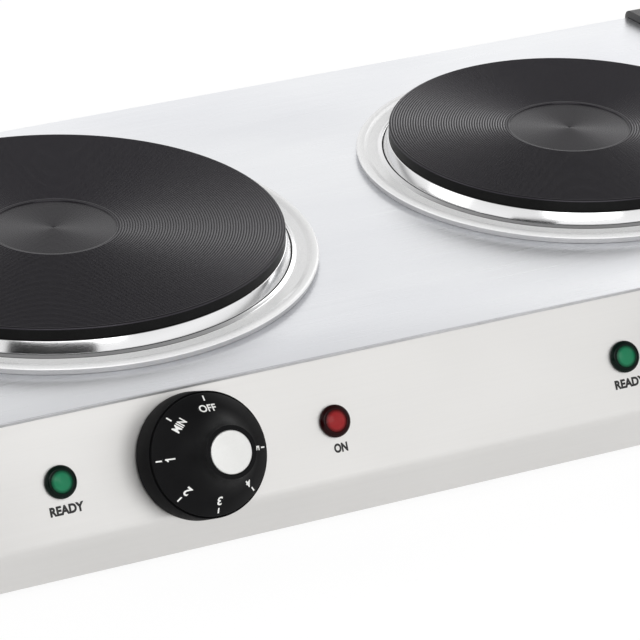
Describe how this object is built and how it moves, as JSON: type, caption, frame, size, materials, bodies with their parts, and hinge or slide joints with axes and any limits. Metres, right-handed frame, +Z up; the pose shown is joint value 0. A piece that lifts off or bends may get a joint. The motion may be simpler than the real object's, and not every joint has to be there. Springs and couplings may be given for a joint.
{
  "type": "double hot plate burner",
  "caption": "Countertop electric hot plate: brushed steel deck with large and small cast-iron plates in bright spill rings, sloped front with turning dials and signal lamps, black end handles.",
  "frame": {"origin": "on the table under the middle of the whole object's box", "axes": "+X to the right along the long side, +Y to the back, +Z up; the dials face -Y"},
  "size_m": [0.495, 0.3044, 0.0769],
  "materials": {
    "deck_steel": "fine straight brushing",
    "panel_steel": "satin",
    "inner_steel": "plain zinc-coated sheet",
    "chrome_ring": "polished",
    "plate_iron": "fine turned grooves, black",
    "handle_plastic": "smooth moulded black",
    "knob_plastic": "satin moulded black",
    "cap_silver": "pale satin",
    "green_lens": "clear tinted",
    "red_lens": "clear tinted",
    "lamp_glass": "clear",
    "foot_rubber": "matte",
    "white_ceramic": "unglazed",
    "fastener_steel": "zinc plated",
    "element_steel": "heat-darkened tube",
    "gland_plastic": "moulded black",
    "lead_sleeve": "woven heat-proof sleeve"
  },
  "bodies": {
    "housing": {"deck_panel": "deck_steel", "control_panel": "panel_steel", "rear_panel": "panel_steel", "base_pan": "inner_steel", "left_handle": "handle_plastic", "right_handle": "handle_plastic", "large_plate": "plate_iron", "large_spill_ring": "chrome_ring", "large_element": "element_steel", "large_heat_shield": "inner_steel", "large_clamp_bar": "inner_steel", "large_clamp_stud": "fastener_steel", "large_clamp_nut": "fastener_steel", "large_terminal_block": "white_ceramic", "large_lead": "lead_sleeve", "small_plate": "plate_iron", "small_spill_ring": "chrome_ring", "small_element": "element_steel", "small_heat_shield": "inner_steel", "small_clamp_bar": "inner_steel", "small_clamp_stud": "fastener_steel", "small_clamp_nut": "fastener_steel", "small_terminal_block": "white_ceramic", "small_lead": "lead_sleeve", "left_thermostat": "white_ceramic", "left_feed_lead": "lead_sleeve", "left_ready_lens": "green_lens", "left_on_lens": "red_lens", "left_ready_lamp": "lamp_glass", "left_on_lamp": "lamp_glass", "front_left_foot": "foot_rubber", "rear_left_foot": "foot_rubber", "right_thermostat": "white_ceramic", "right_feed_lead": "lead_sleeve", "right_ready_lens": "green_lens", "right_on_lens": "red_lens", "right_ready_lamp": "lamp_glass", "right_on_lamp": "lamp_glass", "front_right_foot": "foot_rubber", "rear_right_foot": "foot_rubber", "thermostat_screws": "fastener_steel", "lamp_clips": "fastener_steel", "foot_screws": "fastener_steel", "base_screws": "fastener_steel", "handle_screws": "fastener_steel", "cord_gland": "gland_plastic", "mains_terminal_block": "white_ceramic"},
    "left_dial": {"left_knob": "knob_plastic", "left_knob_cap": "cap_silver", "left_spindle": "fastener_steel"},
    "right_dial": {"right_knob": "knob_plastic", "right_knob_cap": "cap_silver", "right_spindle": "fastener_steel"}
  },
  "joints": [
    {"name": "left_dial_turn", "type": "hinge", "parent": "housing", "child": "left_dial", "pos_m": [-0.1228, -0.11563, 0.0389], "axis": [0, 0.8829, -0.4695], "range_deg": [0, 270]},
    {"name": "right_dial_turn", "type": "hinge", "parent": "housing", "child": "right_dial", "pos_m": [0.1228, -0.11563, 0.0389], "axis": [0, 0.8829, -0.4695], "range_deg": [0, 270]}
  ]
}
